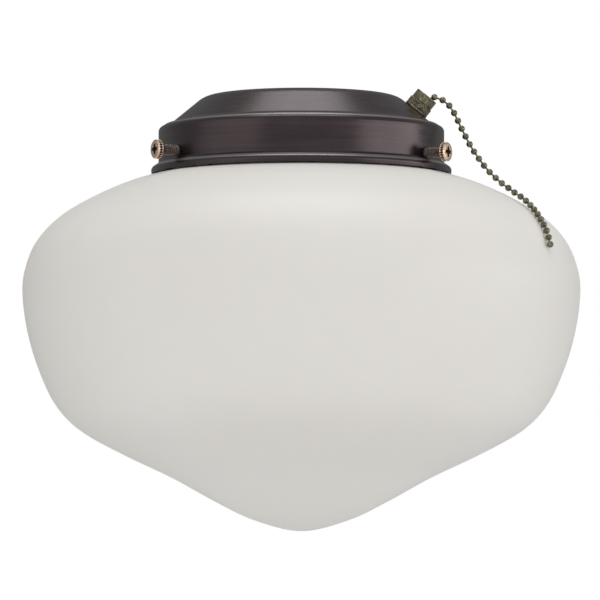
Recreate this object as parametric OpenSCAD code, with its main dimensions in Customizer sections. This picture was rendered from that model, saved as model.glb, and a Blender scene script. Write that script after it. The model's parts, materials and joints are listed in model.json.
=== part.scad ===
// One-light kit for a ceiling fan: a spun steel fitter pan that holds a schoolhouse glass globe
// with three thumbscrews, a lampholder with its bulb, and a pull-chain switch.
// Origin: centre of the pan's top face. +Z is up. The pull switch sits on the +X side.

/* [Fitter pan] */
// Sheet thickness of the spun pan
pan_wall = 0.8; // [0.6:0.1:1.0]
// Radius at which the flat top would meet the cone
pan_top_r = 35.5; // [34:0.5:36]
// Rounding between the flat top and the cone
pan_top_round = 8.9; // [7:0.1:9]
// Slope of the cone below the horizontal, in degrees
cone_slope = 39.4; // [38:0.2:41]
// Radius at the foot of the cone
cone_foot_r = 47.4; // [46.5:0.1:48]
// Radius of the upright band
band_r = 52.5; // [52:0.1:53]
// Height of the shoulder where the band starts
band_top_z = -12; // [-12.5:0.1:-11.5]
// Height at which the band starts to flare
band_foot_z = -24.8; // [-25.2:0.1:-24.6]
// Largest radius, at the rolled lip
lip_r = 55.3; // [54.8:0.1:55.5]
// Lowest point of the lip
lip_z = -28.8; // [-28.9:0.1:-28.6]
// Radius of the hole for a 1/8-IP nipple
nipple_hole_r = 5.2; // [5.1:0.05:5.4]

/* [Glass globe] */
// Thickness of the glass
glass_wall = 3; // [2.5:0.1:3.5]
// Radius of the neck that the thumbscrews press on
neck_r = 47.5; // [47:0.1:47.5]
// Radius of the lip above the thumbscrews
neck_lip_r = 49.2; // [48.8:0.1:49.4]
// Top of the glass
neck_top_z = -15.5; // [-16:0.1:-15]

/* [Thumbscrews] */
// Directions of the three thumbscrews, in degrees from +X
screw_azimuths = [-30, 210, 90];
// Height of each thumbscrew
screw_heights = [-23.2, -22.2, -22.3];
// Radius of the 8-32 shank
screw_r = 2.08; // [2.0:0.01:2.1]
// Distance of the tip from the centre line
screw_tip = 47.6; // [47.55:0.05:47.8]
// Distance of the head's rear face from the centre line
screw_seat = 59.5; // [59:0.1:60]
// Radius of the head
head_r = 3.5; // [3.3:0.1:3.6]
// Thickness of the head
head_h = 2.1; // [1.8:0.1:2.4]
// Number of notches around the head
head_notches = 22; // [18:1:26]

/* [Pull switch] */
// Direction of the pull switch, in degrees from +X
switch_azimuth = -6; // [-8:1:-4]
// Distance from the top of the cone to the switch's axis, along the slope
switch_down = 8.6; // [8.4:0.1:8.8]
// Radius of the nipple
stem_r = 3.6; // [3.5:0.05:3.6]
// Radius of the knurled nut
nut_r = 4.7; // [4.6:0.05:4.8]
// Radius of the bell mouth
mouth_r = 4.3; // [4.2:0.05:4.4]
// Diameter of the beads
bead_d = 2.4; // [2.3:0.1:2.4]

/* [Lampholder and bulb] */
// Outer radius of the porcelain
holder_r = 18; // [17.5:0.1:18.5]
// Bottom of the porcelain
holder_foot_z = -55; // [-56:0.5:-54]
// Largest radius of the bulb's cap thread
cap_r = 13.1; // [13:0.05:13.15]

/* [Hidden] */
$fn = 64;
curve_step = 6;
// Outline of the glass below its neck
glass_knots = [
    [52, -28.8], [65, -32.6], [79, -39], [89.5, -45.6], [97.5, -54.4], [101.5, -64.5],
    [102.3, -73], [100.4, -87], [96.3, -100.7], [90, -113.8], [81.4, -122.7], [66, -131.4],
    [47.4, -140.3], [31.4, -149.1], [17.6, -155.7], [0, -159.8]
];
neck_foot = [neck_r, -28.2];
// Bracket strap, its rivets and the lampholder that hangs from it
strap_z = -17;
strap_t = 1.2;
strap_w = 20;
foot_reach = 25;
rivet_y = 21;
rivet_r = 1.5;
rivet_head_r = 2.6;
rivet_sink = 0.45;
holder_top_z = strap_z - strap_t;
holder_bore_r = 14.2;
holder_floor_z = -28;
holder_screw_x = 7;
cap_top_z = -31.5;
cap_foot_z = -53;
bulb_tip_z = -118;
// Outline of the bulb below its cap
bulb_knots = [
    [11.5, -49], [11.9, -55], [14.2, -62], [18.5, -71], [22.7, -82], [24, -94],
    [22.2, -104.5], [16.6, -112.6], [8.6, -117], [0, bulb_tip_z]
];
// Pull switch, along its own axis: the moulded case lies below the cone and the bell mouth above it
case_x0 = -6;
case_x1 = 5;
case_y = 8;
case_top = -2.5;
case_foot = -13.8;
case_wall = 1;
cover_t = 1;
washer_h = 1;
nut_top = 3.5;
mouth_top = 6.8;
stem_top = 5;
flare_r = 1.7;
rotor_r = 3.9;
rotor_in_r = 2.5;
chain_start = 0.6;
// Route of the chain's centre line, from inside the switch's nipple to its free end
chain_route = [
    [42.3, -4.4, -5.0], [43.7, -4.6, -3.5], [45.1, -4.7, -2.2], [46.3, -4.9, -1.3],
    [47.6, -5.0, -0.8], [49.1, -5.2, -0.8], [50.7, -5.3, -1.3], [52.2, -6.2, -2.2],
    [54.6, -7.2, -4.5], [56.3, -8.2, -7.5], [57.7, -9.2, -10.6], [59.1, -10.2, -13.7],
    [62.1, -12.3, -19.8], [63.9, -13.5, -22.7], [65.8, -14.7, -25.6], [67.8, -16.0, -28.3],
    [70.1, -17.4, -30.8], [72.5, -19.1, -33.2], [75.2, -21.0, -35.4], [77.8, -23.3, -37.6],
    [80.5, -26.0, -39.7], [82.8, -29.4, -42.2], [84.8, -33.4, -45.0], [86.5, -37.3, -48.1],
    [88.0, -41.0, -51.4], [89.0, -44.0, -54.7], [89.8, -47.3, -59.1]
];

// ---- geometry helpers ----

function unit(v) = v / norm(v);
function right_of(v) = [v.y, -v.x];

// Direction of an open outline at point i, as the mean of its two sides
function side_before(p, i) = i > 0 ? unit(p[i] - p[i - 1]) : unit(p[1] - p[0]);
function side_after(p, i) = i < len(p) - 1 ? unit(p[i + 1] - p[i]) : side_before(p, i);
function mitre(p, i) = unit(right_of(side_before(p, i)) + right_of(side_after(p, i)));
function inset(p, t) = [
    for (i = [0 : len(p) - 1]) p[i] + mitre(p, i) * t / (mitre(p, i) * right_of(side_after(p, i)))
];
function reversed(p) = [for (i = [len(p) - 1 : -1 : 0]) p[i]];

// Corner b between a and c, rounded with radius r by n chords
function corner_reach(a, b, c, r) = r * tan((180 - corner_angle(a, b, c)) / 2);
function corner_angle(a, b, c) = acos(unit(a - b) * unit(c - b));
function rounded(a, b, c, r, n) =
    let (
        reach = corner_reach(a, b, c, r),
        start = b + unit(a - b) * reach,
        inward = unit(unit(a - b) + unit(c - b)),
        centre = b + inward * r / sin(corner_angle(a, b, c) / 2),
        from = atan2(start.y - centre.y, start.x - centre.x),
        turn = (unit(b - a).x * unit(c - b).y - unit(b - a).y * unit(c - b).x > 0 ? 1 : -1)
            * (180 - corner_angle(a, b, c))
    )
    [for (k = [0 : n]) centre + r * [cos(from + turn * k / n), sin(from + turn * k / n)]];

// Smooth curve through a list of points: the tangent at each point is parallel to its neighbours' chord
function spline_at(a, b, c, d, t) =
    let (
        m = (c - a) / (norm(c - a) + 0.001) * norm(c - b),
        n = (d - b) / (norm(d - b) + 0.001) * norm(c - b)
    )
    (2 * t ^ 3 - 3 * t ^ 2 + 1) * b + (t ^ 3 - 2 * t ^ 2 + t) * m
        + (3 * t ^ 2 - 2 * t ^ 3) * c + (t ^ 3 - t ^ 2) * n;
function spline(p, first, last, steps) = [
    for (i = [0 : len(p) - 2]) for (k = [0 : steps - 1])
        spline_at(i > 0 ? p[i - 1] : first, p[i], p[i + 1], i < len(p) - 2 ? p[i + 2] : last, k / steps),
    p[len(p) - 1]
];

// A round tube along a list of points, as one closed solid. side is a direction the path never takes
function path_dir(p, i) = unit(p[min(i + 1, len(p) - 1)] - p[max(i - 1, 0)]);
function ring(p, i, r, sides, side) =
    let (d = path_dir(p, i), u = unit(cross(d, side)), v = cross(d, u))
    [for (k = [0 : sides - 1]) p[i] + r * (cos(360 * k / sides) * u + sin(360 * k / sides) * v)];
module tube(p, r, side, sides = 8) {
    points = [for (i = [0 : len(p) - 1]) each ring(p, i, r, sides, side)];
    walls = [
        for (i = [0 : len(p) - 2]) for (k = [0 : sides - 1])
            let (a = i * sides + k, b = i * sides + (k + 1) % sides)
            each [[a, a + sides, b], [b, a + sides, b + sides]]
    ];
    start_cap = [for (k = [0 : sides - 1]) k];
    end_cap = [for (k = [sides - 1 : -1 : 0]) (len(p) - 1) * sides + k];
    polyhedron(points, concat(walls, [start_cap, end_cap]));
}

// Places children at the pull switch: z runs out of the cone, x down its slope
module at_switch() {
    rotate([0, 0, switch_azimuth])
    translate([
        pan_top_r + switch_down * cos(cone_slope),
        0,
        -switch_down * sin(cone_slope)
    ])
    rotate([0, cone_slope, 0])
    children();
}

// Places children on the axis of thumbscrew i: z runs outwards from the centre line
module at_screw(i) {
    rotate([0, 0, screw_azimuths[i]])
    translate([0, 0, screw_heights[i]])
    rotate([0, 90, 0])
    children();
}

module ring_solid(r_out, r_in, z0, z1) {
    translate([0, 0, z0])
    difference() {
        cylinder(r = r_out, h = z1 - z0);
        translate([0, 0, -1])
        cylinder(r = r_in, h = z1 - z0 + 2);
    }
}

// ---- fitter pan and its bracket ----

pan_axis = [0, 0];
pan_vertex = [pan_top_r, 0];
pan_foot = [cone_foot_r, -(cone_foot_r - pan_top_r) * tan(cone_slope)];
pan_shoulder = [band_r, band_top_z];
pan_flare = [band_r, band_foot_z];
pan_lip = [lip_r, band_foot_z - 2.35];
pan_end = [lip_r - 0.3, lip_z];
pan_outline = concat(
    [pan_axis],
    rounded(pan_axis, pan_vertex, pan_foot, pan_top_round, 8),
    [pan_foot],
    rounded(pan_foot, pan_shoulder, pan_flare, 1.8, 6),
    [pan_flare],
    rounded(pan_flare, pan_lip, pan_end, 1.3, 6),
    [pan_end]
);

module fitter_pan() {
    collar_reach = 1.6;
    color("#4a3a38")
    difference() {
        union() {
            rotate_extrude($fn = 128)
            polygon(concat(pan_outline, reversed(inset(pan_outline, pan_wall))));
            for (i = [0 : 2])
                at_screw(i)
                translate([0, 0, band_r - pan_wall - collar_reach])
                cylinder(r = 3.2, h = collar_reach + pan_wall / 2);
        }
        translate([0, 0, -3])
        cylinder(r = nipple_hole_r, h = 6);
        for (i = [0 : 2])
            at_screw(i)
            translate([0, 0, band_r - 6])
            cylinder(r = screw_r + 0.07, h = 10);
        at_switch()
        translate([0, 0, -4])
        cylinder(r = stem_r + 0.15, h = 8);
        for (side = [-1, 1])
            translate([0, side * rivet_y, 0]) {
                translate([0, 0, -3])
                cylinder(r = rivet_r + 0.05, h = 6);
                translate([0, 0, -rivet_sink])
                cylinder(r = rivet_head_r + 0.1, h = 2);
            }
    }
}

module socket_bracket() {
    leg_h = -strap_z - pan_wall;
    color("#c9ccd0")
    difference() {
        union() {
            translate([-strap_w / 2, -15, strap_z - strap_t])
            cube([strap_w, 30, strap_t]);
            for (side = [0, 1])
                mirror([0, side, 0]) {
                    translate([-strap_w / 2, 15 - strap_t, strap_z - strap_t])
                    cube([strap_w, strap_t, leg_h + strap_t]);
                    translate([-strap_w / 2, 15 - strap_t, -pan_wall - strap_t])
                    cube([strap_w, foot_reach - 15 + strap_t, strap_t]);
                }
        }
        for (side = [-1, 1]) {
            translate([0, side * rivet_y, -5])
            cylinder(r = rivet_r + 0.05, h = 6);
            translate([side * holder_screw_x, 0, strap_z - 3])
            cylinder(r = 1.7, h = 6);
        }
        translate([0, 0, strap_z - 3])
        cylinder(r = 3, h = 6);
    }
}

module bracket_rivets() {
    clinch_z = -pan_wall - strap_t;
    color("#b9bcc0")
    for (side = [-1, 1])
        translate([0, side * rivet_y, 0]) {
            translate([0, 0, clinch_z - 1])
            cylinder(r = rivet_r, h = pan_wall + strap_t + 0.8);
            translate([0, 0, 0.02 - rivet_sink])
            cylinder(r = rivet_head_r, h = rivet_sink - 0.04);
            translate([0, 0, clinch_z])
            rotate_extrude()
            polygon([[0, -1.2], [1.9, -1.1], [rivet_head_r, -0.05], [0, -0.05]]);
        }
}

// ---- glass ----

glass_body = concat(
    rounded([neck_r, -21], neck_foot, glass_knots[0], 1.4, 4),
    spline(glass_knots, neck_foot, [-17.6, -155.7], curve_step)
);

module glass_globe() {
    neck_in_r = neck_r - glass_wall;
    inner = inset(glass_body, glass_wall);
    below_neck = [for (p = inner) if (p.x > 0.01 && p.y < -31.6) p];
    color("#f2efe9")
    rotate_extrude($fn = 128)
    polygon(concat(
        [[neck_in_r, neck_top_z - 1], [neck_in_r + 1, neck_top_z]],
        rounded([neck_in_r, neck_top_z], [neck_lip_r, neck_top_z], [neck_lip_r, -19.6], 1.2, 4),
        [[neck_lip_r, -18.9], [neck_r, -20.4]],
        glass_body,
        [[0, glass_knots[len(glass_knots) - 1].y + glass_wall]],
        reversed(below_neck),
        [[neck_in_r + 2, -31.2], [neck_in_r + 0.4, -30], [neck_in_r, -28.5]]
    ));
}

// ---- thumbscrews ----

module screw_shank(i) {
    color("#3a302b")
    at_screw(i)
    rotate_extrude()
    polygon([
        [0, screw_tip], [screw_r - 0.4, screw_tip], [screw_r, screw_tip + 0.4],
        [screw_r, screw_seat], [0, screw_seat]
    ]);
}

module screw_head(i) {
    face = screw_seat + head_h;
    recess = 1.2;
    color("#8a5a3c")
    at_screw(i)
    difference() {
        rotate_extrude()
        polygon([
            [0, screw_seat + 0.02], [head_r - 0.5, screw_seat + 0.02], [head_r, screw_seat + 0.5],
            [head_r, face - 0.7], [head_r - 0.3, face - 0.35], [head_r - 0.9, face - 0.05],
            [head_r - 1.4, face], [0, face]
        ]);
        for (k = [0 : head_notches - 1])
            rotate([0, 0, 360 * k / head_notches])
            translate([head_r + 0.12, 0, screw_seat - 1])
            cylinder(r = 0.3, h = head_h + 2, $fn = 16);
        for (turn = [0, 90])
            rotate([0, 0, turn])
            translate([-2, -0.45, face - recess])
            cube([4, 0.9, recess + 1]);
    }
}

module screw_right_shank() { screw_shank(0); }
module screw_right_head() { screw_head(0); }
module screw_left_shank() { screw_shank(1); }
module screw_left_head() { screw_head(1); }
module screw_back_shank() { screw_shank(2); }
module screw_back_head() { screw_head(2); }

// ---- pull switch: everything in the frame of at_switch() ----

module switch_housing() {
    color("#2c2c2e")
    at_switch()
    difference() {
        translate([case_x0, -case_y, case_foot + cover_t])
        cube([case_x1 - case_x0, 2 * case_y, case_top - case_foot - cover_t]);
        translate([case_x0 + case_wall, -case_y + case_wall, case_foot])
        cube([
            case_x1 - case_x0 - 2 * case_wall,
            2 * (case_y - case_wall),
            case_top - case_foot - case_wall
        ]);
        translate([0, 0, case_top - 3])
        cylinder(r = stem_r + 0.05, h = 6);
    }
}

module switch_cover() {
    color("#6d4a2e")
    at_switch()
    difference() {
        translate([case_x0, -case_y, case_foot])
        cube([case_x1 - case_x0, 2 * case_y, cover_t]);
        for (side = [-1, 1])
            translate([-1.6, side * 6 - 0.5, case_foot - 1])
            cube([3.2, 1, cover_t + 2]);
    }
}

module switch_nipple() {
    color("#8d7f63")
    at_switch()
    difference() {
        union() {
            cylinder(r = stem_r, h = stem_top);
            translate([0, 0, case_top - case_wall])
            cylinder(r = stem_r, h = case_wall - case_top);
            translate([0, 0, case_top - case_wall - 0.7])
            cylinder(r = 3.9, h = 0.7);
        }
        translate([0, 0, -6])
        cylinder(r = 1.75, h = 16);
    }
}

module switch_inner_nut() {
    color("#b9bcc0")
    at_switch()
    difference() {
        translate([0, 0, case_top])
        cylinder(r = 5, h = 1.3, $fn = 6);
        translate([0, 0, case_top - 1])
        cylinder(r = stem_r + 0.02, h = 4);
    }
}

module switch_washer() {
    color("#a08a5c")
    at_switch()
    ring_solid(nut_r, stem_r + 0.1, 0.02, washer_h);
}

module switch_knurled_nut() {
    color("#9a865c")
    at_switch()
    difference() {
        ring_solid(nut_r, stem_r + 0.02, washer_h + 0.02, nut_top);
        for (k = [0 : 23])
            rotate([0, 0, 15 * k])
            translate([nut_r + 0.1, 0, 0])
            cylinder(r = 0.28, h = nut_top + 1, $fn = 16);
    }
}

module switch_bell_mouth() {
    inner_r = stem_r + 0.02;
    throat_r = 2;
    flare = [
        for (a = [180 : -15 : 90])
            [throat_r + flare_r + flare_r * cos(a), mouth_top - flare_r + flare_r * sin(a)]
    ];
    color("#9a865c")
    at_switch()
    rotate_extrude()
    polygon(concat(
        [[throat_r, stem_top + 0.02], [inner_r, stem_top + 0.02], [inner_r, nut_top + 0.02]],
        [[mouth_r, nut_top + 0.02], [mouth_r, mouth_top - 0.3], [mouth_r - 0.25, mouth_top]],
        reversed(flare)
    ));
}

module switch_contacts() {
    color("#c08a4a")
    at_switch()
    for (side = [0, 1])
        mirror([0, side, 0]) {
            translate([-1.5, 5.6, case_foot + cover_t + 0.05])
            cube([3, 0.5, 5.5]);
            translate([-1.5, rotor_r + 0.1, case_foot + 2.2])
            cube([3, 5.65 - rotor_r - 0.1, 1]);
        }
}

module switch_terminals() {
    color("#d8b25c")
    at_switch()
    for (side = [-1, 1])
        translate([-1.5, side * 6 - 0.4, case_foot - 2.4])
        cube([3, 0.8, cover_t + 2.4]);
}

module switch_rotor() {
    color("#ded8c4")
    at_switch()
    difference() {
        ring_solid(rotor_r - 0.3, rotor_in_r, -12.6, -8.6);
        for (k = [0 : 3])
            rotate([0, 0, 45 + 90 * k])
            translate([rotor_r - 0.2, 0, -10])
            cylinder(r = 0.7, h = 3, $fn = 24);
    }
}

module rotor_contact() {
    color("#c08a4a")
    at_switch()
    difference() {
        ring_solid(rotor_r, rotor_r - 0.28, -12.2, -10.4);
        translate([-5, -5.65, -13])
        cube([10, 5, 4]);
    }
}

module pull_rod() {
    color("#b08d4e")
    at_switch() {
        translate([0, 0, -12.4])
        cylinder(r = 1, h = 12.4 - 0.6);
        translate([0, 0, -12.4])
        cylinder(r = 2.3, h = 1.4);
        translate([0, 0, -1.8])
        cylinder(r = 1.5, h = 1.8 + chain_start);
    }
}

module return_spring() {
    turns = 5;
    wire_r = 0.25;
    coil_r = 1.7;
    low = -10.95 + wire_r;
    high = -4.3 - wire_r;
    steps = 12 * turns;
    color("#c9ccd0")
    at_switch()
    tube([
        for (i = [0 : steps])
            [coil_r * cos(360 * turns * i / steps), coil_r * sin(360 * turns * i / steps),
                low + (high - low) * i / steps]
    ], wire_r, [0, 0, 1], 6);
}

module pull_chain() {
    last = len(chain_route) - 1;
    before = 2 * chain_route[0] - chain_route[1];
    after = 2 * chain_route[last] - chain_route[last - 1];
    color("#7d6f50")
    tube(spline(chain_route, before, after, 2), bead_d / 2, [0, 1, 0]);
}

// ---- lampholder ----

module lampholder_body() {
    color("#f4f2ec")
    difference() {
        rotate_extrude()
        polygon([
            [0, holder_top_z - 0.02], [holder_r - 4, holder_top_z - 0.02],
            [holder_r - 3, holder_top_z - 1], [holder_r - 3, -29], [holder_r - 2, -30.5],
            [holder_r, -31.5], [holder_r, holder_foot_z + 1], [holder_r - 1, holder_foot_z],
            [holder_bore_r + 0.6, holder_foot_z], [holder_bore_r, holder_foot_z + 0.6],
            [holder_bore_r, holder_floor_z - 1], [holder_bore_r - 1, holder_floor_z],
            [0, holder_floor_z]
        ]);
        for (side = [-1, 1]) {
            translate([side * holder_screw_x, 0, holder_top_z - 7])
            cylinder(r = 1.55, h = 8);
            translate([side * (holder_r - 4.5), 0, -24])
            rotate([0, 90, 0])
            cylinder(r = 1.6, h = 8, center = true);
        }
        translate([-3, -3, holder_floor_z - 1])
        cube([6, 6, 3]);
    }
}

module lampholder_shell() {
    pitch = 3.63;
    turns = 6;
    top = -31;
    crest_r = 13.9;
    root_r = 13.45;
    t = 0.22;
    wave = [
        for (k = [0 : 6 * turns])
            [(crest_r + root_r) / 2 + (crest_r - root_r) / 2 * cos(60 * k), top - pitch * k / 6]
    ];
    color("#d8b25c")
    rotate_extrude()
    polygon(concat([for (p = wave) p + [t, 0]], reversed(wave)));
}

module lampholder_contact() {
    color("#d8b25c") {
        translate([0, 0, -29.2])
        cylinder(r = 3.6, h = 0.5);
        translate([-2, -2, -28.75])
        cube([4, 4, 2.5]);
    }
}

module lampholder_screws() {
    color("#c9ccd0")
    for (side = [-1, 1])
        translate([side * holder_screw_x, 0, strap_z]) {
            translate([0, 0, -7.5])
            cylinder(r = 1.5, h = 8);
            difference() {
                rotate_extrude()
                polygon([[0, 0.02], [2.8, 0.02], [2.8, 0.9], [2.2, 1.6], [0, 1.9]]);
                translate([-3, -0.35, 1.1])
                cube([6, 0.7, 2]);
            }
        }
}

module lampholder_terminals() {
    color("#d8b25c")
    for (side = [0, 1])
        mirror([side, 0, 0])
        translate([holder_r - 3, 0, -24])
        rotate([0, 90, 0])
        difference() {
            union() {
                translate([0, 0, -5])
                cylinder(r = 1.5, h = 6);
                translate([-3.4, -3.2, 0.1])
                cube([6.8, 6.4, 0.6]);
                translate([0, 0, 0.6])
                cylinder(r = 2.8, h = 1.7);
            }
            translate([-0.4, -3, 1.4])
            cube([0.8, 6, 2]);
        }
}

module jumper_lead() {
    from_switch = [32.1, 2.7, -18.3];
    leaving = [29.4, 2.9, -21.7];
    arriving = [22.5, 4.4, -27];
    to_holder = [16.8, 3.9, -24.6];
    color("#e9e6df")
    tube([
        for (t = [0 : 1 / 12 : 1.001])
            (1 - t) ^ 3 * from_switch + 3 * (1 - t) ^ 2 * t * leaving
                + 3 * (1 - t) * t ^ 2 * arriving + t ^ 3 * to_holder
    ], 0.9, [0, 1, 0]);
}

// ---- bulb ----

module bulb_contact() {
    color("#c9ccd0")
    rotate_extrude()
    polygon([[0, -29.25], [2.6, -29.4], [4.2, -29.9], [4.6, -30.6], [0, -30.6]]);
}

module bulb_insulator() {
    color("#222222")
    rotate_extrude()
    polygon([[0, -30.62], [4.8, -30.62], [8.6, cap_top_z - 0.1], [9.2, -33.2], [0, -33.2]]);
}

module bulb_cap() {
    pitch = 3.63;
    root_r = cap_r - 0.6;
    wave = [
        for (k = [0 : 24])
            [(cap_r + root_r) / 2 + (cap_r - root_r) / 2 * cos(60 * k), -34 - pitch * k / 6]
    ];
    color("#c9ccd0")
    rotate_extrude()
    polygon(concat(
        [[9.25, -32.2], [10.6, -32.6]], wave,
        [[cap_r - 0.3, cap_foot_z], [11.6, cap_foot_z], [11.6, -33.6], [9.25, -33.2]]
    ));
}

module bulb_globe() {
    wall = 0.8;
    outer = spline(bulb_knots, [11.5, -43], [-8.6, -117], 4);
    inner = [for (p = inset(outer, wall)) if (p.x > 0.01) p];
    color("#faf8f2")
    rotate_extrude()
    polygon(concat(outer, [[0, bulb_tip_z + wall]], reversed(inner)));
}

module bulb_stem() {
    color("#dfe6e6")
    rotate_extrude()
    polygon([
        [0, -48], [10.4, -48.4], [10.4, -49.6], [4, -52.5], [2.8, -58], [2, -74],
        [3, -76], [2, -78], [0, -78.5]
    ]);
}

module bulb_filament() {
    color("#b8a070") {
        tube([
            for (k = [0 : 16])
                [9 * cos(200 * k / 16 - 10), 9 * sin(200 * k / 16 - 10), -84]
        ], 0.4, [0, 0, 1]);
        for (angle = [-10, 90, 190])
            tube([
                for (t = [0 : 0.25 : 1])
                    [(1.6 + 7.4 * t) * cos(angle), (1.6 + 7.4 * t) * sin(angle), -77.2 - 6.8 * t]
            ], 0.3, [0, 0, 1]);
    }
}

fitter_pan();
socket_bracket();
bracket_rivets();
glass_globe();
lampholder_body();
lampholder_shell();
lampholder_contact();
lampholder_screws();
lampholder_terminals();
jumper_lead();
switch_housing();
switch_cover();
switch_nipple();
switch_inner_nut();
switch_washer();
switch_knurled_nut();
switch_bell_mouth();
switch_contacts();
switch_terminals();
switch_rotor();
rotor_contact();
pull_rod();
return_spring();
pull_chain();
screw_right_shank();
screw_right_head();
screw_left_shank();
screw_left_head();
screw_back_shank();
screw_back_head();
bulb_contact();
bulb_insulator();
bulb_cap();
bulb_globe();
bulb_stem();
bulb_filament();
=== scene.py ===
"""Ceiling fan light kit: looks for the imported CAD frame.

Outlines and the sizes in capitals are in millimetres, as in the CAD. Lights, the camera and noise are in metres.
"""
import json
import math

import bmesh
import bpy
import numpy as np
from mathutils import Matrix, Vector


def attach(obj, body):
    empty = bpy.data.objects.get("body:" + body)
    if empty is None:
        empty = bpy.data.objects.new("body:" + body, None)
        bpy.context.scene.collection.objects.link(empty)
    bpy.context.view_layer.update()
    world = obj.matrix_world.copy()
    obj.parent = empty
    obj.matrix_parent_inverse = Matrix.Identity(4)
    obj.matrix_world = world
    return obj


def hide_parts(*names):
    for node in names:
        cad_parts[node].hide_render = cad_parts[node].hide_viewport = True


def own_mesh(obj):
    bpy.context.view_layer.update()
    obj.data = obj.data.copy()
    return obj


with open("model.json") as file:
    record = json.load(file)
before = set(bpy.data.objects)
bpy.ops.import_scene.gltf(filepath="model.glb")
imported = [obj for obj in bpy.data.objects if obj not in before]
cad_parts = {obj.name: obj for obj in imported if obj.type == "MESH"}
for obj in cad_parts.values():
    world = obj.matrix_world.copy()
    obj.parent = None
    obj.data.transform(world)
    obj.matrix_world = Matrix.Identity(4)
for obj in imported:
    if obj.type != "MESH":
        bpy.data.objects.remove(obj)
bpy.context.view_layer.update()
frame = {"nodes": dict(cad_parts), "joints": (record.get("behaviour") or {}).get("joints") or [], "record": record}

MM = 0.001
JOINTS = {j["name"]: j for j in frame["joints"]}
NODES = frame["nodes"]
SCREWS = ("right", "left", "back")


# ---- camera: level with the photograph's, 4 degrees below the glass's middle and 2.5 m away ----

VIEW_DISTANCE = 2.5
VIEW_BELOW = math.radians(4.0)
VIEW_TARGET = Vector((-0.0005, 0, -0.075))
VIEW_WIDTH = 0.2202
SENSOR = 36


def make_camera():
    data = bpy.data.cameras.new("camera")
    data.sensor_width = SENSOR
    data.lens = SENSOR * VIEW_DISTANCE / VIEW_WIDTH
    data.clip_end = 50
    camera = bpy.data.objects.new("camera", data)
    bpy.context.scene.collection.objects.link(camera)
    back = Vector((0, -math.cos(VIEW_BELOW), -math.sin(VIEW_BELOW)))
    camera.location = VIEW_TARGET + VIEW_DISTANCE * back
    camera.rotation_euler = (-back).to_track_quat("-Z", "Y").to_euler()
    bpy.context.scene.camera = camera


# ---- mesh helpers ----

def finish_mesh(bm, name, sharp_deg=35):
    """Turns a bmesh into an object with smooth faces that break at edges sharper than sharp_deg."""
    bmesh.ops.recalc_face_normals(bm, faces=bm.faces)
    for face in bm.faces:
        face.smooth = True
    limit = math.radians(sharp_deg)
    for edge in bm.edges:
        edge.smooth = edge.is_manifold and edge.calc_face_angle(0) < limit
    mesh = bpy.data.meshes.new(name)
    bm.to_mesh(mesh)
    bm.free()
    obj = bpy.data.objects.new(name, mesh)
    bpy.context.scene.collection.objects.link(obj)
    return obj


def add_lathe(bm, profile, segments=192, closed=False, radius=None, place=Matrix.Identity(4)):
    """Revolves (r, z) points in millimetres about z. A closed profile makes a ring.

    radius(angle, r, z) may change r.
    """
    angles = [2 * math.pi * k / segments for k in range(segments)]
    rings = []
    for r, z in profile:
        if r < 1e-6:
            rings.append([bm.verts.new(place @ Vector((0, 0, z * MM)))])
            continue
        ring = []
        for a in angles:
            rr = (radius(a, r, z) if radius else r) * MM
            ring.append(bm.verts.new(place @ Vector((rr * math.cos(a), rr * math.sin(a), z * MM))))
        rings.append(ring)
    for lower, upper in zip(rings, rings[1:] + (rings[:1] if closed else [])):
        for k in range(segments):
            a, b = lower[k % len(lower)], lower[(k + 1) % len(lower)]
            c, d = upper[(k + 1) % len(upper)], upper[k % len(upper)]
            corners = [v for i, v in enumerate((a, b, c, d)) if v not in (a, b, c, d)[:i]]
            if len(corners) > 2:
                bm.faces.new(corners)


def lathe(name, profile, **options):
    bm = bmesh.new()
    sharp = options.pop("sharp_deg", 35)
    add_lathe(bm, profile, **options)
    return finish_mesh(bm, name, sharp)


def unit(v):
    return v / np.linalg.norm(v)


def arc_points(centre, radius, angles):
    return [tuple(centre + radius * np.array((math.cos(a), math.sin(a)))) for a in angles]


def rounded(a, b, c, r, steps=8):
    """Corner b of an outline from a to c, as an arc of radius r."""
    a, b, c = (np.array(p, float) for p in (a, b, c))
    u, w = unit(a - b), unit(c - b)
    corner = math.acos(np.clip(u @ w, -1, 1))
    start = b + u * r / math.tan(corner / 2)
    centre = b + unit(u + w) * r / math.sin(corner / 2)
    turn = math.pi - corner
    if u[0] * w[1] - u[1] * w[0] > 0:
        turn = -turn
    first = math.atan2(*(start - centre)[::-1])
    return arc_points(centre, r, [first + turn * k / steps for k in range(steps + 1)])


def inset(path, t):
    """The outline path moved t to its right."""
    p = [np.array(q, float) for q in path]
    moved = []
    for i in range(len(p)):
        before = unit(p[i] - p[i - 1]) if i else unit(p[1] - p[0])
        after = unit(p[i + 1] - p[i]) if i < len(p) - 1 else before
        n0, n1 = np.array((before[1], -before[0])), np.array((after[1], -after[0]))
        m = unit(n0 + n1)
        moved.append(tuple(p[i] + m * t / (m @ n1)))
    return moved


def spline(points, first, last, steps):
    """A smooth curve through the points, by the CAD's rule: a tangent is parallel to its neighbours' chord."""
    p = [np.array(q, float) for q in (first, *points, last)]
    out = []
    for i in range(1, len(p) - 2):
        a, b, c, d = p[i - 1:i + 3]
        span = np.linalg.norm(c - b)
        m = (c - a) / (np.linalg.norm(c - a) + 0.001) * span
        n = (d - b) / (np.linalg.norm(d - b) + 0.001) * span
        for k in range(steps):
            t = k / steps
            out.append(tuple(
                (2 * t ** 3 - 3 * t ** 2 + 1) * b + (t ** 3 - 2 * t ** 2 + t) * m
                + (3 * t ** 2 - 2 * t ** 3) * c + (t ** 3 - t ** 2) * n
            ))
    return out + [tuple(p[-2])]


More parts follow.
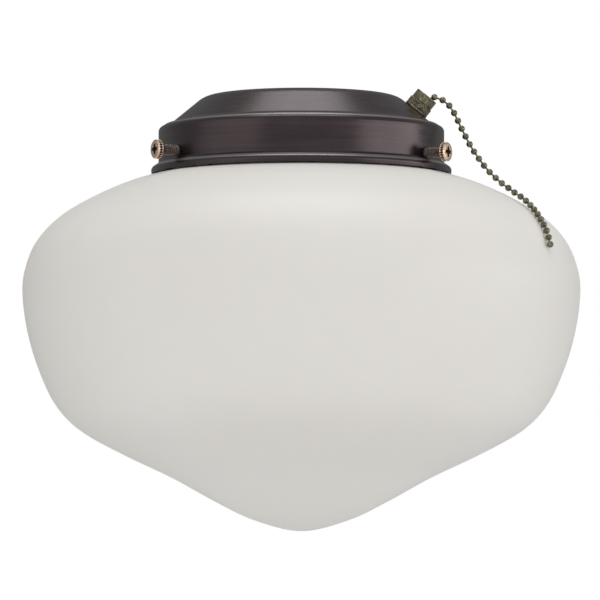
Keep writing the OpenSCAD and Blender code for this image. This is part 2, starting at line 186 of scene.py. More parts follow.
def axis_matrix(origin, direction, side=Vector((0, 0, 1))):
    """A frame at origin whose z runs along direction."""
    z = Vector(direction).normalized()
    x = side.cross(z)
    x = (x if x.length > 1e-6 else Vector((1, 0, 0))).normalized()
    return Matrix.Translation(origin) @ Matrix((x, z.cross(x), z)).transposed().to_4x4()


def cut(obj, cutters):
    """Takes the cutters out of obj and removes them."""
    for cutter in cutters:
        modifier = obj.modifiers.new("cut", "BOOLEAN")
        modifier.operation = "DIFFERENCE"
        modifier.solver = "EXACT"
        modifier.object = cutter
    bpy.context.view_layer.update()
    graph = bpy.context.evaluated_depsgraph_get()
    made = bpy.data.meshes.new_from_object(obj.evaluated_get(graph))
    obj.modifiers.clear()
    obj.data = made
    for cutter in cutters:
        bpy.data.objects.remove(cutter)
    bm = bmesh.new()
    bm.from_mesh(made)
    bmesh.ops.remove_doubles(bm, verts=bm.verts, dist=1e-7)
    for face in bm.faces:
        face.smooth = True
    for edge in bm.edges:
        edge.smooth = edge.is_manifold and edge.calc_face_angle(0) < math.radians(30)
    bm.to_mesh(made)
    bm.free()
    return obj


def drill(place, radius_mm, low_mm, high_mm, segments=64):
    profile = [(0, low_mm), (radius_mm, low_mm), (radius_mm, high_mm), (0, high_mm)]
    return lathe("drill", profile, segments=segments, place=place)


def put(obj, body, material, slot, *nodes):
    obj.data.materials.clear()
    obj.data.materials.append(material)
    if nodes:
        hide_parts(*nodes)
    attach(obj, body)
    return obj


# ---- materials ----

# Heights in millimetres of two thin lighter bands on the bronze. They are painted highlights that stand in for the
# light caught by the lip's roll and by the shoulder's edge.
PAINTED_LIP_HIGHLIGHT_MM = -26.0
PAINTED_SHOULDER_HIGHLIGHT_MM = -11.15


def new_material(name, **values):
    """A material with its Principled shader's sockets set, and a small builder for its nodes."""
    material = bpy.data.materials.new(name)
    material.use_nodes = True
    tree = material.node_tree
    shader = tree.nodes["Principled BSDF"]
    for key, value in values.items():
        shader.inputs[key.replace("_", " ")].default_value = value
    return material, tree, shader


def add(tree, kind, inputs=(), **settings):
    node = tree.nodes.new(kind)
    for key, value in settings.items():
        setattr(node, key, value)
    for key, value in dict(inputs).items():
        if isinstance(value, bpy.types.NodeSocket):
            tree.links.new(value, node.inputs[key])
        else:
            node.inputs[key].default_value = value
    return node


def position(tree):
    return add(tree, "ShaderNodeTexCoord").outputs["Object"]


def noise(tree, vector, scale, detail=4, rough=0.55):
    return add(tree, "ShaderNodeTexNoise", {
        "Vector": vector, "Scale": scale, "Detail": detail, "Roughness": rough}).outputs["Fac"]


def ramp(tree, fac, *stops):
    """A colour ramp; each stop is (position, (r, g, b))."""
    node = add(tree, "ShaderNodeValToRGB", {"Fac": fac})
    elements = node.color_ramp.elements
    while len(elements) < len(stops):
        elements.new(0.5)
    for element, (place, colour) in zip(elements, stops):
        element.position = place
        element.color = (*colour, 1)
    return node.outputs["Color"]


def level(tree, fac, low, high, out_low, out_high):
    return add(tree, "ShaderNodeMapRange", {
        "Value": fac, "From Min": low, "From Max": high, "To Min": out_low, "To Max": out_high,
    }).outputs["Result"]


def bump(tree, shader, height, strength, distance):
    node = add(tree, "ShaderNodeBump", {"Height": height, "Strength": strength, "Distance": distance})
    tree.links.new(node.outputs["Normal"], shader.inputs["Normal"])


def lathe_vector(tree, across, around):
    """Radius and height at a fine scale and the angle at a coarse one: lines that run round the z axis."""
    xyz = add(tree, "ShaderNodeSeparateXYZ", {"Vector": position(tree)})
    x, y, z = (xyz.outputs[k] for k in "XYZ")
    squares = [add(tree, "ShaderNodeMath", {0: v, 1: v}, operation="MULTIPLY").outputs[0] for v in (x, y)]
    total = add(tree, "ShaderNodeMath", {0: squares[0], 1: squares[1]}, operation="ADD").outputs[0]
    r = add(tree, "ShaderNodeMath", {0: total, 1: 0.5}, operation="POWER").outputs[0]
    angle = add(tree, "ShaderNodeMath", {0: y, 1: x}, operation="ARCTAN2").outputs[0]
    slant = add(tree, "ShaderNodeMath", {0: r, 1: z}, operation="SUBTRACT").outputs[0]
    fine = add(tree, "ShaderNodeMath", {0: slant, 1: across}, operation="MULTIPLY")
    slow = add(tree, "ShaderNodeMath", {0: angle, 1: around}, operation="MULTIPLY")
    return add(tree, "ShaderNodeCombineXYZ", {"X": fine.outputs[0], "Y": slow.outputs[0]}).outputs["Vector"]


def painted_highlight_line(tree, height, middle_mm, half_mm):
    """1 at the height of a painted highlight line, a lighter band painted where an edge catches light, falling to
    0 at half_mm above and below it.
    """
    away = add(tree, "ShaderNodeMath", {0: height, 1: middle_mm * MM}, operation="SUBTRACT").outputs[0]
    away = add(tree, "ShaderNodeMath", {0: away}, operation="ABSOLUTE").outputs[0]
    return level(tree, away, 0.3 * half_mm * MM, half_mm * MM, 1, 0)


def bronze_paint():
    """Oil-rubbed bronze under a satin clear coat, with spinning's fine lines and two painted highlight lines, at
    the lip's roll and at the shoulder's edge.
    """
    material, tree, shader = new_material("bronze_paint", Metallic=0.8, Coat_Weight=0.5, Coat_IOR=1.5)
    spun = noise(tree, lathe_vector(tree, 2600, 1.5), 1.0, 3)
    broad = noise(tree, lathe_vector(tree, 650, 1.0), 1.0, 2)
    cloud = noise(tree, position(tree), 38, 5)
    mixed = add(tree, "ShaderNodeMath", {0: broad, 1: cloud}, operation="ADD").outputs[0]
    colour = ramp(tree, level(tree, mixed, 0.6, 1.4, 0, 1), (0.2, (0.018, 0.008, 0.010)),
                  (0.5, (0.028, 0.014, 0.017)), (0.8, (0.044, 0.025, 0.026)))
    height = add(tree, "ShaderNodeSeparateXYZ", {"Vector": position(tree)}).outputs["Z"]
    # Painted highlight: two thin lighter bands at the lip and at the shoulder are added to the base colour, where
    # these edges catch light.
    lip_highlight = painted_highlight_line(tree, height, PAINTED_LIP_HIGHLIGHT_MM, 0.75)
    shoulder_highlight = painted_highlight_line(tree, height, PAINTED_SHOULDER_HIGHLIGHT_MM, 0.4)
    highlight_mask = add(tree, "ShaderNodeMath", {0: lip_highlight, 1: shoulder_highlight}, operation="MAXIMUM").outputs[0]
    highlight_colour = ramp(tree, highlight_mask, (0, (0, 0, 0)), (1, (0.27, 0.26, 0.275)))
    both = add(tree, "ShaderNodeMix", data_type="RGBA", blend_type="ADD")
    colour_a, colour_b, colour_out = both.inputs[6], both.inputs[7], both.outputs[2]
    both.inputs["Factor"].default_value = 1
    tree.links.new(colour, colour_a)
    tree.links.new(highlight_colour, colour_b)
    tree.links.new(colour_out, shader.inputs["Base Color"])
    tree.links.new(level(tree, spun, 0.25, 0.75, 0.28, 0.35), shader.inputs["Roughness"])
    tree.links.new(level(tree, broad, 0.25, 0.75, 0.22, 0.34), shader.inputs["Coat Roughness"])
    bump(tree, shader, spun, 0.08, 0.00006)
    return material


def opal_glass():
    material, tree, shader = new_material(
        "opal_glass", IOR=1.5, Subsurface_Weight=0.25, Subsurface_Radius=(0.006, 0.005, 0.004),
        Subsurface_Scale=1.0, Coat_Weight=0.1, Coat_Roughness=0.3)
    cloud = noise(tree, position(tree), 9, 3)
    colour = ramp(tree, cloud, (0.3, (0.80, 0.770, 0.722)), (0.7, (0.83, 0.805, 0.762)))
    tree.links.new(colour, shader.inputs["Base Color"])
    fine = noise(tree, position(tree), 420, 3)
    tree.links.new(level(tree, fine, 0.3, 0.7, 0.52, 0.6), shader.inputs["Roughness"])
    ripple = noise(tree, position(tree), 24, 2)
    bump(tree, shader, ripple, 0.10, 0.0005)
    return material


def aged_brass():
    material, tree, shader = new_material("aged_brass", Metallic=0.92)
    patch = noise(tree, position(tree), 750, 5, 0.6)
    colour = ramp(tree, patch, (0.30, (0.07, 0.063, 0.042)), (0.50, (0.17, 0.155, 0.10)),
                  (0.72, (0.33, 0.30, 0.21)))
    tree.links.new(colour, shader.inputs["Base Color"])
    tree.links.new(level(tree, patch, 0.3, 0.7, 0.48, 0.30), shader.inputs["Roughness"])
    bump(tree, shader, noise(tree, position(tree), 3200, 3), 0.25, 0.00003)
    return material


def worn_copper():
    material, tree, shader = new_material("worn_copper", Metallic=0.95)
    patch = noise(tree, position(tree), 900, 4)
    colour = ramp(tree, patch, (0.32, (0.42, 0.27, 0.18)), (0.5, (0.70, 0.50, 0.37)),
                  (0.7, (0.90, 0.74, 0.60)))
    tree.links.new(colour, shader.inputs["Base Color"])
    tree.links.new(level(tree, patch, 0.3, 0.7, 0.42, 0.24), shader.inputs["Roughness"])
    bump(tree, shader, noise(tree, position(tree), 4000, 3), 0.2, 0.00003)
    return material


def black_recess():
    material, tree, shader = new_material("black_recess", Metallic=0.3)
    patch = noise(tree, position(tree), 1500, 3)
    colour = ramp(tree, patch, (0.3, (0.006, 0.005, 0.005)), (0.7, (0.02, 0.015, 0.013)))
    tree.links.new(colour, shader.inputs["Base Color"])
    tree.links.new(level(tree, patch, 0.3, 0.7, 0.5, 0.7), shader.inputs["Roughness"])
    return material


def dark_thread():
    material, tree, shader = new_material("dark_thread", Metallic=0.9)
    patch = noise(tree, position(tree), 1400, 4)
    colour = ramp(tree, patch, (0.3, (0.06, 0.047, 0.042)), (0.7, (0.26, 0.21, 0.185)))
    tree.links.new(colour, shader.inputs["Base Color"])
    tree.links.new(level(tree, patch, 0.3, 0.7, 0.36, 0.22), shader.inputs["Roughness"])
    bump(tree, shader, patch, 0.15, 0.00003)
    return material


def plain_metal(name, low, high, rough=(0.28, 0.4), metallic=0.95, scale=900):
    """Plated or stamped metal: faint blotches, fine grain."""
    material, tree, shader = new_material(name, Metallic=metallic)
    patch = noise(tree, position(tree), scale, 4)
    tree.links.new(ramp(tree, patch, (0.3, low), (0.7, high)), shader.inputs["Base Color"])
    tree.links.new(level(tree, patch, 0.3, 0.7, *rough), shader.inputs["Roughness"])
    bump(tree, shader, noise(tree, position(tree), 3 * scale, 3), 0.12, 0.00004)
    return material


def moulded(name, low, high, rough=(0.4, 0.55), scale=500, **values):
    """Moulded or fired surface: small colour drift and a fine skin."""
    material, tree, shader = new_material(name, **values)
    patch = noise(tree, position(tree), scale, 3)
    tree.links.new(ramp(tree, patch, (0.3, low), (0.7, high)), shader.inputs["Base Color"])
    tree.links.new(level(tree, patch, 0.3, 0.7, *rough), shader.inputs["Roughness"])
    bump(tree, shader, noise(tree, position(tree), 4 * scale, 3), 0.1, 0.00004)
    return material


BRONZE = bronze_paint()
OPAL = opal_glass()
BRASS_AGED = aged_brass()
COPPER = worn_copper()
RECESS = black_recess()
THREAD = dark_thread()
BY_SLOT = {
    "plated_steel": plain_metal("plated_steel", (0.46, 0.47, 0.49), (0.62, 0.63, 0.65)),
    "bright_brass": plain_metal("bright_brass", (0.62, 0.43, 0.17), (0.80, 0.60, 0.28)),
    "spring_steel": plain_metal("spring_steel", (0.42, 0.43, 0.45), (0.56, 0.57, 0.60)),
    "cap_metal": plain_metal("cap_metal", (0.60, 0.60, 0.62), (0.78, 0.78, 0.79), (0.2, 0.32)),
    "tungsten": plain_metal("tungsten", (0.20, 0.19, 0.18), (0.34, 0.33, 0.31)),
    "antique_brass": BRASS_AGED,
    "porcelain": moulded("porcelain", (0.80, 0.79, 0.75), (0.86, 0.85, 0.82), (0.12, 0.2), 120, Coat_Weight=0.5),
    "phenolic": moulded("phenolic", (0.018, 0.018, 0.02), (0.035, 0.034, 0.036), (0.32, 0.45)),
    "fibre_board": moulded("fibre_board", (0.16, 0.075, 0.035), (0.27, 0.14, 0.07), (0.6, 0.8)),
    "nylon": moulded("nylon", (0.66, 0.63, 0.53), (0.76, 0.73, 0.64), (0.35, 0.5)),
    "wire_jacket": moulded("wire_jacket", (0.72, 0.71, 0.67), (0.80, 0.79, 0.76), (0.4, 0.5)),
    "black_glass": moulded("black_glass", (0.008, 0.008, 0.01), (0.02, 0.02, 0.024), (0.08, 0.15)),
    "bulb_glass": moulded("bulb_glass", (0.82, 0.81, 0.79), (0.88, 0.87, 0.85), (0.25, 0.32), 60,
                          Transmission_Weight=0.35, IOR=1.5),
    "clear_glass": moulded("clear_glass", (0.9, 0.93, 0.93), (0.96, 0.98, 0.98), (0.02, 0.05), 60,
                           Transmission_Weight=0.95, IOR=1.5),
}


def dress_cad_nodes():
    for row in frame["record"]["subparts"]:
        material = BY_SLOT.get(row["material_slot"])
        if material:
            node = NODES[row["node"]]
            node.data.materials.clear()
            node.data.materials.append(material)


# ---- pull chain ----

BEAD_MM = 2.4
LINK_MM = 0.72
BEAD_PITCH_MM = 3.42
CHAIN_ROUTE_MM = [
    (42.3, -4.4, -5.0), (43.7, -4.6, -3.5), (45.1, -4.7, -2.2), (46.3, -4.9, -1.3),
    (47.6, -5.0, -0.8), (49.1, -5.2, -0.8), (50.7, -5.3, -1.3), (52.2, -6.2, -2.2),
    (54.6, -7.2, -4.5), (56.3, -8.2, -7.5), (57.7, -9.2, -10.6), (59.1, -10.2, -13.7),
    (62.1, -12.3, -19.8), (63.9, -13.5, -22.7), (65.8, -14.7, -25.6), (67.8, -16.0, -28.3),
    (70.1, -17.4, -30.8), (72.5, -19.1, -33.2), (75.2, -21.0, -35.4), (77.8, -23.3, -37.6),
    (80.5, -26.0, -39.7), (82.8, -29.4, -42.2), (84.8, -33.4, -45.0), (86.5, -37.3, -48.1),
    (88.0, -41.0, -51.4), (89.0, -44.0, -54.7), (89.8, -47.3, -59.1),
]


def chain_line():
    """The chain's centre line in millimetres, with the distance along it."""
    route = [np.array(p) for p in CHAIN_ROUTE_MM]
    line = np.array(spline(route, 2 * route[0] - route[1], 2 * route[-1] - route[-2], 8))
    steps = np.linalg.norm(np.diff(line, axis=0), axis=1)
    return line, np.concatenate([[0], np.cumsum(steps)])


def point_at(line, along, s):
    return np.array([np.interp(s, along, line[:, k]) for k in range(3)])


def bead_profile():
    """A hollow bead pressed from strip: round, with a small turned-in hole for the link at each end."""
    r, hole = BEAD_MM / 2, LINK_MM / 2 + 0.1
    low = math.asin(hole / r)
    outside = [(r * math.sin(a), -r * math.cos(a)) for a in np.linspace(low, math.pi - low, 15)]
    lip = outside[0][1]
    floor, edge = lip + 0.22, lip + 0.2
    return [(0, floor), (hole - 0.06, edge), *outside, (hole - 0.06, -edge), (0, -floor)]


def make_chain():
    line, along = chain_line()
    length = along[-1]
    bm = bmesh.new()
    count = int(length / BEAD_PITCH_MM)
    first = length - BEAD_MM / 2 - count * BEAD_PITCH_MM
    stops = [first + k * BEAD_PITCH_MM for k in range(count + 1) if first + k * BEAD_PITCH_MM > BEAD_MM / 2]
    for s in stops:
        centre = point_at(line, along, s)
        heading = point_at(line, along, min(s + 0.5, length)) - point_at(line, along, max(s - 0.5, 0))
        add_lathe(bm, bead_profile(), segments=28, place=axis_matrix(Vector(centre) * MM, Vector(heading)))
    ends = [0, *stops, length]
    for a, b in zip(ends, ends[1:]):
        start, end = (Vector(point_at(line, along, s)) * MM for s in (a, b))
        reach = (end - start).length / MM
        waist = LINK_MM / 2
        profile = [(0, 0), (waist, 0.05), (waist * 0.9, reach / 2), (waist, reach - 0.05), (0, reach)]
        add_lathe(bm, profile, segments=16, place=axis_matrix(start, end - start))
    chain = finish_mesh(bm, "ball_chain", 50)
    put(chain, "pull", BRASS_AGED, "antique_brass", "pull_chain")


# ---- fitter pan ----

CONE_SLOPE = math.radians(39.4)
PAN_WALL = 0.8
PAN_TOP_R = 35.5
CONE_FOOT_R = 47.4
BAND_R = 52.5
BAND_TOP_Z = -12
BAND_FOOT_Z = -24.8
LIP_R = 55.3
LIP_Z = -28.8
NIPPLE_HOLE_R = 5.2
SCREW_R = 2.08
STEM_R = 3.6
ROTOR_DEPTH = 10
RIVET_Y = 21
RIVET_HOLE_R = 1.55
RIVET_SEAT_R = 2.7
RIVET_SEAT_Z = -0.45
SCREW_HOLE_R = SCREW_R + 0.12
COLLAR_R = 3.2
COLLAR_H = 1.6


def between(a, b, steps):
    """Points from a to b with both ends, so that long faces don't stretch the smoothing."""
    return [(a[0] + (b[0] - a[0]) * k / steps, a[1] + (b[1] - a[1]) * k / steps) for k in range(steps + 1)]


def spun_bead(foot, shoulder, away=2.9, radius=0.9, rise=0.22):
    """A low ridge across the shoulder, drawn as an arc whose ends sink into the sheet."""
    along = unit(np.array(shoulder, float) - np.array(foot, float))
    out = np.array((-along[1], along[0]))
    centre = np.array(foot) + along * away + out * (rise - radius)
    tilt = math.atan2(out[1], out[0])
    half = math.acos(1 - rise / radius)
    return arc_points(centre, radius, [tilt + half * k for k in (1, 0.75, 0.5, 0.25, 0, -0.25, -0.5, -0.75, -1)])


def pan_outline():
    top, vertex = (0, 0), (PAN_TOP_R, 0)
    foot = (CONE_FOOT_R, -(CONE_FOOT_R - PAN_TOP_R) * math.tan(CONE_SLOPE))
    shoulder, flare = (BAND_R, BAND_TOP_Z), (BAND_R, BAND_FOOT_Z)
    lip, end = (LIP_R, BAND_FOOT_Z - 1.9), (LIP_R - 0.25, LIP_Z)
    cone = rounded(top, vertex, foot, 8.9, 16)
    crease = rounded(vertex, foot, shoulder, 0.35, 4)
    edge = rounded(foot, shoulder, flare, 1.8, 10)
    root = rounded(shoulder, flare, lip, 0.4, 6)
    rim = rounded(flare, lip, end, 1.7, 12)
    path = [(6, 0), (12, 0), (20, 0), (28, 0), *cone]
    path += between(cone[-1], crease[0], 4)[1:-1] + crease
    path += spun_bead(foot, shoulder) + edge
    path += between(edge[-1], root[0], 6)[1:-1] + root
    return path + rim + [end]


def switch_place():
    """The pull switch's frame: z runs out of the cone, and the origin lies on the cone."""
    joint = JOINTS["rotor_turn"]
    axis = Vector(joint["axis"])
    return axis_matrix(Vector(joint["pos_m"]) + axis * ROTOR_DEPTH * MM, axis, Vector((0, 1, 0)))


def screw_place(name):
    """A thumbscrew's frame: z runs outwards, and the origin is on the pan's centre line."""
    joint = JOINTS[f"screw_{name}_turn"]
    return axis_matrix(Vector((0, 0, joint["pos_m"][2])), Vector(joint["axis"]))


def make_pan():
    outer = pan_outline()
    inner = inset(outer, PAN_WALL)
    hem = [(LIP_R - 0.42, LIP_Z - 0.02), (inner[-1][0] + 0.1, inner[-1][1])]
    profile = [(0, 0), *outer, *hem, *reversed(inner[:-1]), (0, -PAN_WALL)]
    pan = lathe("spun_fitter_pan", profile, segments=256, sharp_deg=28)
    cutters = [drill(Matrix.Identity(4), NIPPLE_HOLE_R, -3, 3, 96)]
    cutters += [drill(screw_place(name), SCREW_HOLE_R, BAND_R - 3, BAND_R + 3) for name in SCREWS]
    cutters += [drill(switch_place(), STEM_R + 0.15, -3, 3)]
    for side in (-1, 1):
        at = Matrix.Translation((0, side * RIVET_Y * MM, 0))
        cutters += [drill(at, RIVET_HOLE_R, -3, 3), drill(at, RIVET_SEAT_R, RIVET_SEAT_Z, 1)]
    cut(pan, cutters)
    put(pan, "fixture", BRONZE, "bronze_paint", "fitter_pan")
    reach = BAND_R - PAN_WALL - 0.03
    ring = [
        (SCREW_HOLE_R, reach - COLLAR_H), (COLLAR_R - 0.2, reach - COLLAR_H), (COLLAR_R, reach - COLLAR_H + 0.3),
        (COLLAR_R + 0.2, reach), (SCREW_HOLE_R, reach),
    ]
    for name in SCREWS:
        collar = lathe(f"tapped_collar_{name}", ring, segments=48, closed=True, place=screw_place(name))
        put(collar, "fixture", BRONZE, "bronze_paint")


# ---- glass globe ----

GLASS_WALL = 3
NECK_R = 47.5
NECK_LIP_R = 49.2
NECK_LIP_FOOT_Z = -19.6
NECK_TOP_Z = -15.5
NECK_FOOT_Z = -28.2
GLASS_KNOTS = [
    (52, -28.8), (65, -32.6), (79, -39), (89.5, -45.6), (97.5, -54.4), (101.5, -64.5),
    (102.3, -73), (100.4, -87), (96.3, -100.7), (90, -113.8), (81.4, -122.7), (66, -131.4),
    (47.4, -140.3), (31.4, -149.1), (17.6, -155.7), (0, -159.8),
]


def make_globe():
    neck_in = NECK_R - GLASS_WALL
    neck_foot = (NECK_R, NECK_FOOT_Z)
    lip = rounded((neck_in, NECK_TOP_Z), (NECK_LIP_R, NECK_TOP_Z), (NECK_LIP_R, NECK_LIP_FOOT_Z), 1.2, 8)
    body = rounded((NECK_R, -21), neck_foot, GLASS_KNOTS[0], 1.4, 6)
    body += spline(GLASS_KNOTS, neck_foot, (-17.6, -155.7), 10)
    inside = [p for p in inset(body, GLASS_WALL) if p[0] > 0.3 and p[1] < -31.6]
    profile = [(neck_in, NECK_TOP_Z - 1), (neck_in + 0.3, NECK_TOP_Z - 0.3), (neck_in + 1, NECK_TOP_Z), *lip]
    profile += [
        (NECK_LIP_R, NECK_LIP_FOOT_Z + 0.7), (NECK_LIP_R - 0.5, NECK_LIP_FOOT_Z),
        (NECK_R + 0.4, NECK_LIP_FOOT_Z - 0.5), (NECK_R, NECK_LIP_FOOT_Z - 1), (NECK_R, -24),
    ]
    profile += body
    shell = [(0, GLASS_KNOTS[-1][1] + GLASS_WALL), *reversed(inside)]
    shell += [
        (neck_in + 2, -31.2), (neck_in + 0.8, -30.5), (neck_in + 0.25, -29.5),
        (neck_in, NECK_FOOT_Z), (neck_in, -22),
    ]
    globe = lathe("opal_globe", profile + shell, segments=256, sharp_deg=40)
    bm = bmesh.new()
    bm.from_mesh(globe.data)
    rim = [e for e in bm.edges if e.is_boundary]
    bmesh.ops.bridge_loops(bm, edges=rim)
    bmesh.ops.recalc_face_normals(bm, faces=bm.faces)
    for face in bm.faces:
        face.smooth = True
    bm.to_mesh(globe.data)
    bm.free()
    put(globe, "fixture", OPAL, "opal_glass", "glass_globe")


# ---- thumbscrews ----

SCREW_TIP = 47.6
SCREW_SEAT = 59.5
HEAD_R = 3.5
HEAD_H = 2.1
THREAD_PITCH = 0.794
NOTCHES = 22


def vee(phase):
    """A thread's height from root 0 to crest 1 over one pitch, with narrow flats."""
    t = abs((phase % 1) - 0.5) * 2
    return min(1, max(0, (t - 0.1) / 0.75))


def make_screw(name):
    place = screw_place(name)
    rows_per_pitch = 10
    rows = int((SCREW_SEAT - SCREW_TIP) / THREAD_PITCH * rows_per_pitch)
    depth = 0.42

    def thread(angle, r, z):
        fade = min(1, (z - SCREW_TIP) / 0.5, (SCREW_SEAT - z) / 0.5)
        return r - depth * (1 - fade * vee(z / THREAD_PITCH - angle / (2 * math.pi)))

    tip = [(0, SCREW_TIP), (SCREW_R * 0.8, SCREW_TIP + 0.02)]
    wall = [(SCREW_R, z) for z in np.linspace(SCREW_TIP + 0.1, SCREW_SEAT - 0.02, rows)]
    shank = lathe(f"screw_{name}_thread", tip + wall + [(0, SCREW_SEAT - 0.01)], segments=48,
                  radius=lambda a, r, z: thread(a, r, z) if r == SCREW_R else r, place=place, sharp_deg=60)
    put(shank, f"screw_{name}_knob", THREAD, "dark_steel", f"screw_{name}_shank")

    face = SCREW_SEAT + HEAD_H
    rim_low, rim_high = SCREW_SEAT + 0.25, face - 0.45
    rim_middle, rim_half = (rim_low + rim_high) / 2, (rim_high - rim_low) / 2

    def notch(angle, z):
        """How deep a lozenge notch is here, from 0 to 1."""
        across = abs(((angle * NOTCHES / (2 * math.pi)) % 1) - 0.5) * 2
        return min(1, max(0, 1.25 - abs(z - rim_middle) / rim_half - across) / 0.5)

    def notched(angle, r, z):
        return r - 0.34 * notch(angle, z) if r > HEAD_R - 0.01 else r

    profile = [
        (0, SCREW_SEAT + 0.02), (HEAD_R - 0.6, SCREW_SEAT + 0.02), (HEAD_R - 0.2, SCREW_SEAT + 0.1),
        (HEAD_R - 0.05, SCREW_SEAT + 0.2), *((HEAD_R, z) for z in np.linspace(rim_low, rim_high, 9)),
        (HEAD_R - 0.05, rim_high + 0.08), (HEAD_R - 0.2, face - 0.22),
        (HEAD_R - 0.5, face - 0.08), (HEAD_R - 0.9, face - 0.02), (HEAD_R - 1.4, face), (0, face),
    ]
    head = lathe(f"screw_{name}_knurled_head", profile, segments=NOTCHES * 12, radius=notched, place=place,
                 sharp_deg=30)
    cut(head, [cross_cutter(place, face)])
    put(head, f"screw_{name}_knob", COPPER, "copper_head", f"screw_{name}_head")
    head.data.materials.append(RECESS)
    inverse = place.inverted()
    for polygon in head.data.polygons:
        x, y, z = (inverse @ polygon.center) / MM
        recess = math.hypot(x, y) < 2.5 and SCREW_SEAT + 0.1 < z < face - 0.04
        notched_here = HEAD_R - 0.5 < math.hypot(x, y) < HEAD_R - 0.17 and rim_low < z < rim_high
        polygon.material_index = int(recess or notched_here)


def cross_cutter(place, face_mm):
    """A driver recess: four tapered wings round a centre well."""
    reach, well, half, depth = 2.35, 1.1, 0.5, 1.35
    outline = []
    for quarter in range(4):
        turn = Matrix.Rotation(math.pi / 2 * quarter, 2)
        for x, y in ((reach, -half), (reach, half), (well, well * 0.75), (well * 0.75, well)):
            outline.append(turn @ Vector((x, y)))
    bm = bmesh.new()
    above, taper = 0.5, 0.45
    top = [bm.verts.new(place @ (Vector((*p, face_mm + above)) * MM)) for p in outline]
    low = [bm.verts.new(place @ (Vector((*(p * taper), face_mm - depth)) * MM)) for p in outline]
    bm.faces.new(top)
    bm.faces.new(low)
    for k in range(len(outline)):
        n = (k + 1) % len(outline)
        bm.faces.new((top[k], top[n], low[n], low[k]))
    return finish_mesh(bm, "cross_cutter")


# ---- pull switch: its outside pieces and its return spring ----

NUT_R = 4.7
MOUTH_R = 4.3
WASHER_H = 1
NUT_TOP = 3.5
MOUTH_TOP = 6.8
STEM_TOP = 5
FLARE_R = 1.7
THROAT_R = 2


def knurl(angle, r, z, teeth=30, lead=0.9, depth=0.24):
    """A diamond knurl: two crossing sets of vee grooves."""
    turn = angle * teeth / (2 * math.pi)
    rise = z / lead
    a, b = (abs(((turn + k * rise) % 1) - 0.5) * 2 for k in (1, -1))
    return r - depth * (1 - min(a, b))


def make_switch_outside():
    place = switch_place()
    washer = [
        (STEM_R + 0.1, 0.02), (NUT_R - 0.15, 0.02), (NUT_R, 0.2), (NUT_R, WASHER_H - 0.2),
        (NUT_R - 0.15, WASHER_H), (STEM_R + 0.1, WASHER_H),
    ]
    put(lathe("switch_base_washer", washer, segments=96, closed=True, place=place),
        "fixture", BRASS_AGED, "antique_brass", "switch_washer")

    low, high = WASHER_H + 0.02, NUT_TOP
    wall = [(NUT_R, z) for z in np.linspace(low + 0.2, high - 0.2, 22)]
    nut = [(STEM_R + 0.02, low), (NUT_R - 0.35, low), *wall, (NUT_R - 0.35, high), (STEM_R + 0.02, high)]
    put(lathe("switch_diamond_nut", nut, segments=300, closed=True, place=place, sharp_deg=60,
              radius=lambda a, r, z: knurl(a, r, z) if r == NUT_R else r),
        "fixture", BRASS_AGED, "antique_brass", "switch_knurled_nut")

    flare_low = MOUTH_TOP - FLARE_R
    flare = [(THROAT_R + FLARE_R * (1 - math.sin(t)), flare_low + FLARE_R * math.cos(t))
             for t in np.linspace(0, math.pi / 2, 10)]
    outer = rounded((MOUTH_R, NUT_TOP), (MOUTH_R, MOUTH_TOP), (THROAT_R + FLARE_R, MOUTH_TOP), 0.25, 4)
    bell = [
        (THROAT_R, STEM_TOP + 0.02), (STEM_R + 0.02, STEM_TOP + 0.02), (STEM_R + 0.02, NUT_TOP + 0.02),
        (MOUTH_R - 0.15, NUT_TOP + 0.02), (MOUTH_R, NUT_TOP + 0.2), (MOUTH_R, 4.5), (MOUTH_R, 5.5),
        *outer, *flare,
    ]
    put(lathe("switch_bell", bell, segments=128, closed=True, place=place),
        "fixture", BRASS_AGED, "antique_brass", "switch_bell_mouth")


SPRING_LOW = -10.7
SPRING_TOP = -4.55
SPRING_R = 1.7
SPRING_WIRE_R = 0.25
SPRING_TURNS = 5


def make_return_spring():
    """The coil is shut between the rod's collar and the top of the case, so it shortens by the whole pull."""
    place = switch_place()
    steps, sides = 24 * SPRING_TURNS, 12
    bm = bmesh.new()
    rings = []
    for i in range(steps + 1):
        angle = 2 * math.pi * SPRING_TURNS * i / steps
        z = SPRING_LOW + (SPRING_TOP - SPRING_LOW) * i / steps
        out = Vector((math.cos(angle), math.sin(angle), 0))
        ring = []
        for k in range(sides):
            turn = 2 * math.pi * k / sides
            spot = out * (SPRING_R + SPRING_WIRE_R * math.cos(turn))
            spot.z = z + SPRING_WIRE_R * math.sin(turn)
            ring.append(bm.verts.new(place @ (spot * MM)))
        rings.append(ring)
    for a, b in zip(rings, rings[1:]):
        for k in range(sides):
            bm.faces.new((a[k], a[(k + 1) % sides], b[(k + 1) % sides], b[k]))
    bm.faces.new(rings[0])
    bm.faces.new(reversed(rings[-1]))
    spring = finish_mesh(bm, "return_coil", 60)
    put(spring, "fixture", BY_SLOT["spring_steel"], "spring_steel", "return_spring")
    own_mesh(spring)


# ---- studio ----

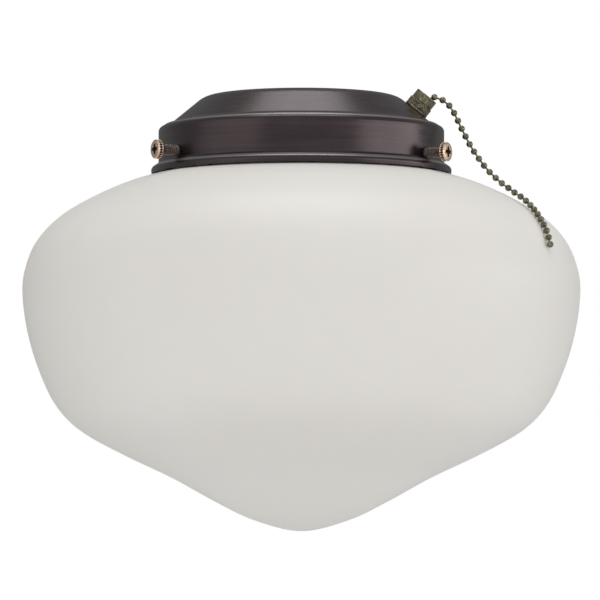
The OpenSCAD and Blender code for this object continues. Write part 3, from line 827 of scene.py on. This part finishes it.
def area_light(name, location, target, size, size_y, power):
    data = bpy.data.lights.new(name, "AREA")
    data.shape = "RECTANGLE"
    data.size = size
    data.size_y = size_y
    data.energy = power
    light = bpy.data.objects.new(name, data)
    light.location = location
    light.rotation_euler = (Vector(target) - Vector(location)).to_track_quat("-Z", "Y").to_euler()
    light.visible_camera = False
    bpy.context.scene.collection.objects.link(light)


def make_studio():
    scene = bpy.context.scene
    scene.view_settings.view_transform = "Standard"
    world = bpy.data.worlds.new("studio")
    scene.world = world
    world.use_nodes = True
    tree = world.node_tree
    background = tree.nodes["Background"]
    way = add(tree, "ShaderNodeSeparateXYZ", {"Vector": add(tree, "ShaderNodeTexCoord").outputs["Generated"]})
    lit = level(tree, way.outputs["Y"], -1, 1, 0.88, 0.15)
    seen = add(tree, "ShaderNodeLightPath").outputs["Is Camera Ray"]
    tree.links.new(add(tree, "ShaderNodeMath", {0: seen, 1: lit}, operation="MAXIMUM").outputs[0],
                   background.inputs["Strength"])
    background.inputs["Color"].default_value = (1, 1, 1, 1)

    bm = bmesh.new()
    half, depth = 6, -1.1
    bm.faces.new([bm.verts.new((x * half, y * half, depth)) for x, y in ((-1, -1), (1, -1), (1, 1), (-1, 1))])
    floor = finish_mesh(bm, "floor")
    material, tree, shader = new_material("pale_floor", Roughness=0.8)
    tone = noise(tree, position(tree), 3, 2)
    colour = ramp(tree, tone, (0.3, (0.86, 0.86, 0.86)), (0.7, (0.9, 0.9, 0.9)))
    tree.links.new(colour, shader.inputs["Base Color"])
    floor.data.materials.append(material)

    middle = (0, 0, -0.07)
    area_light("top_box", (0, 0.2, 1.3), middle, 0.8, 0.7, 5.6)
    area_light("front_box", (0, -0.45, 1.3), middle, 0.8, 0.45, 0.6)
    area_light("right_strip", (1.6, -0.37, 0.1), middle, 1.9, 0.45, 7.5)
    area_light("left_fill", (-1.4, -0.8, 0), middle, 1.6, 1.6, 4)
    area_light("bounce", (0, -0.6, -1.0), middle, 1.6, 1.6, 3.6)


make_camera()
make_chain()
dress_cad_nodes()
make_pan()
make_globe()
for screw in SCREWS:
    make_screw(screw)
make_switch_outside()
make_return_spring()
make_studio()
